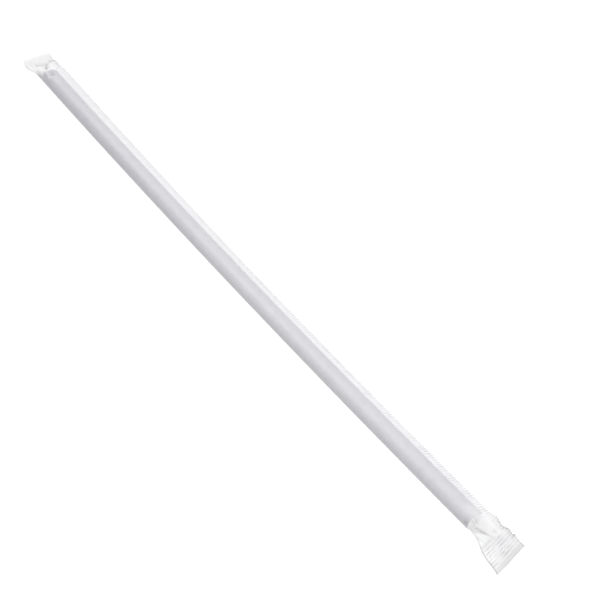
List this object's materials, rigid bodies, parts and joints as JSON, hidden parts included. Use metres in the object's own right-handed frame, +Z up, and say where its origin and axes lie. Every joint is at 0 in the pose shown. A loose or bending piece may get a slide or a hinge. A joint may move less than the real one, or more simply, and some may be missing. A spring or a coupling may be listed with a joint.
{
  "type": "wrapped drinking straw",
  "caption": "Straight drinking straw sealed in a thin crimped paper sleeve, lying flat, with a flared seal at one end and a skewed seal at the other.",
  "frame": {"origin": "on the table, on the flat underside of the sleeve, under the middle of the straw", "axes": "+X along the straw towards the end with the flared, straight-cut seal, +Y towards the sleeve's long crimped seam, +Z up from the table"},
  "size_m": [0.2932, 0.0137, 0.0061],
  "materials": {
    "wrapper_paper": "thin uncoated white paper, slightly see-through, heat-crimped along its seams",
    "straw_plastic": "smooth glossy black extruded plastic"
  },
  "bodies": {
    "root": {"paper_wrapper": "wrapper_paper", "straw": "straw_plastic"}
  },
  "joints": []
}
